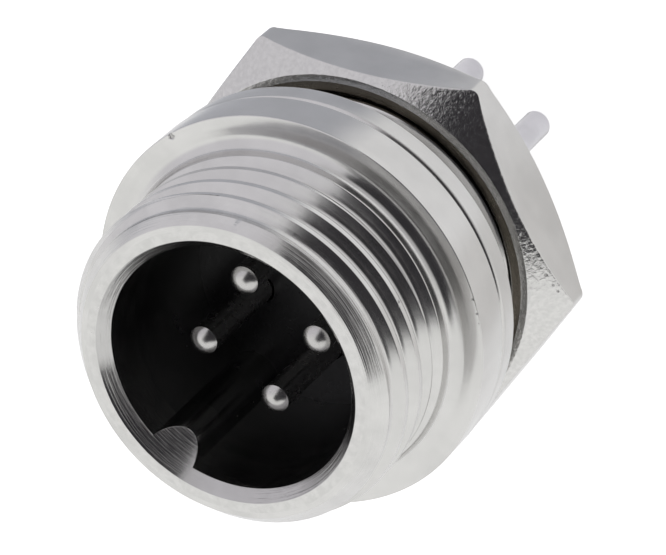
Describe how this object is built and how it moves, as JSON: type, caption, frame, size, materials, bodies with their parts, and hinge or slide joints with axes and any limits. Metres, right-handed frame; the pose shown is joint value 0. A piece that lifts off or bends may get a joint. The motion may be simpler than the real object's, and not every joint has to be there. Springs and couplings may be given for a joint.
{
  "type": "microphone panel plug",
  "caption": "Round threaded panel plug with pin contacts in a keyed open barrel, a flange, a washer and a hexagon nut.",
  "frame": {"origin": "on the plug's axis, at the flange's rear face, which seats on the panel's front", "axes": "+Z along the axis out of the mating end, -Y through the key in the bore, solder cups towards -Z"},
  "size_m": [0.0142, 0.0162, 0.02],
  "materials": {
    "nickel": "bright nickel plating on brass with fine turning marks",
    "contact_silver": "bright silver plating on brass",
    "insulator": "black moulded plastic",
    "spring_steel": "plain spring steel"
  },
  "bodies": {
    "shell": {"shell": "nickel", "front_insulator": "insulator", "rear_insulator": "insulator", "contact_1": "contact_silver", "contact_2": "contact_silver", "contact_3": "contact_silver", "contact_4": "contact_silver", "snap_ring": "spring_steel"},
    "washer": {"washer": "nickel"},
    "nut": {"nut": "nickel"}
  },
  "joints": [
    {"name": "washer_slide", "type": "slide", "parent": "shell", "child": "washer", "axis": [0, 0, -1], "range_m": [0, 0.004]},
    {"name": "nut_turn", "type": "hinge", "parent": "washer", "child": "nut", "pos_m": [0, 0, 0], "axis": [0, 0, -1], "range_deg": [0, 1440]}
  ],
  "couplings": [
    {"joint": "nut_turn", "follows": "washer_slide", "rad_per_m": 6283.2}
  ]
}
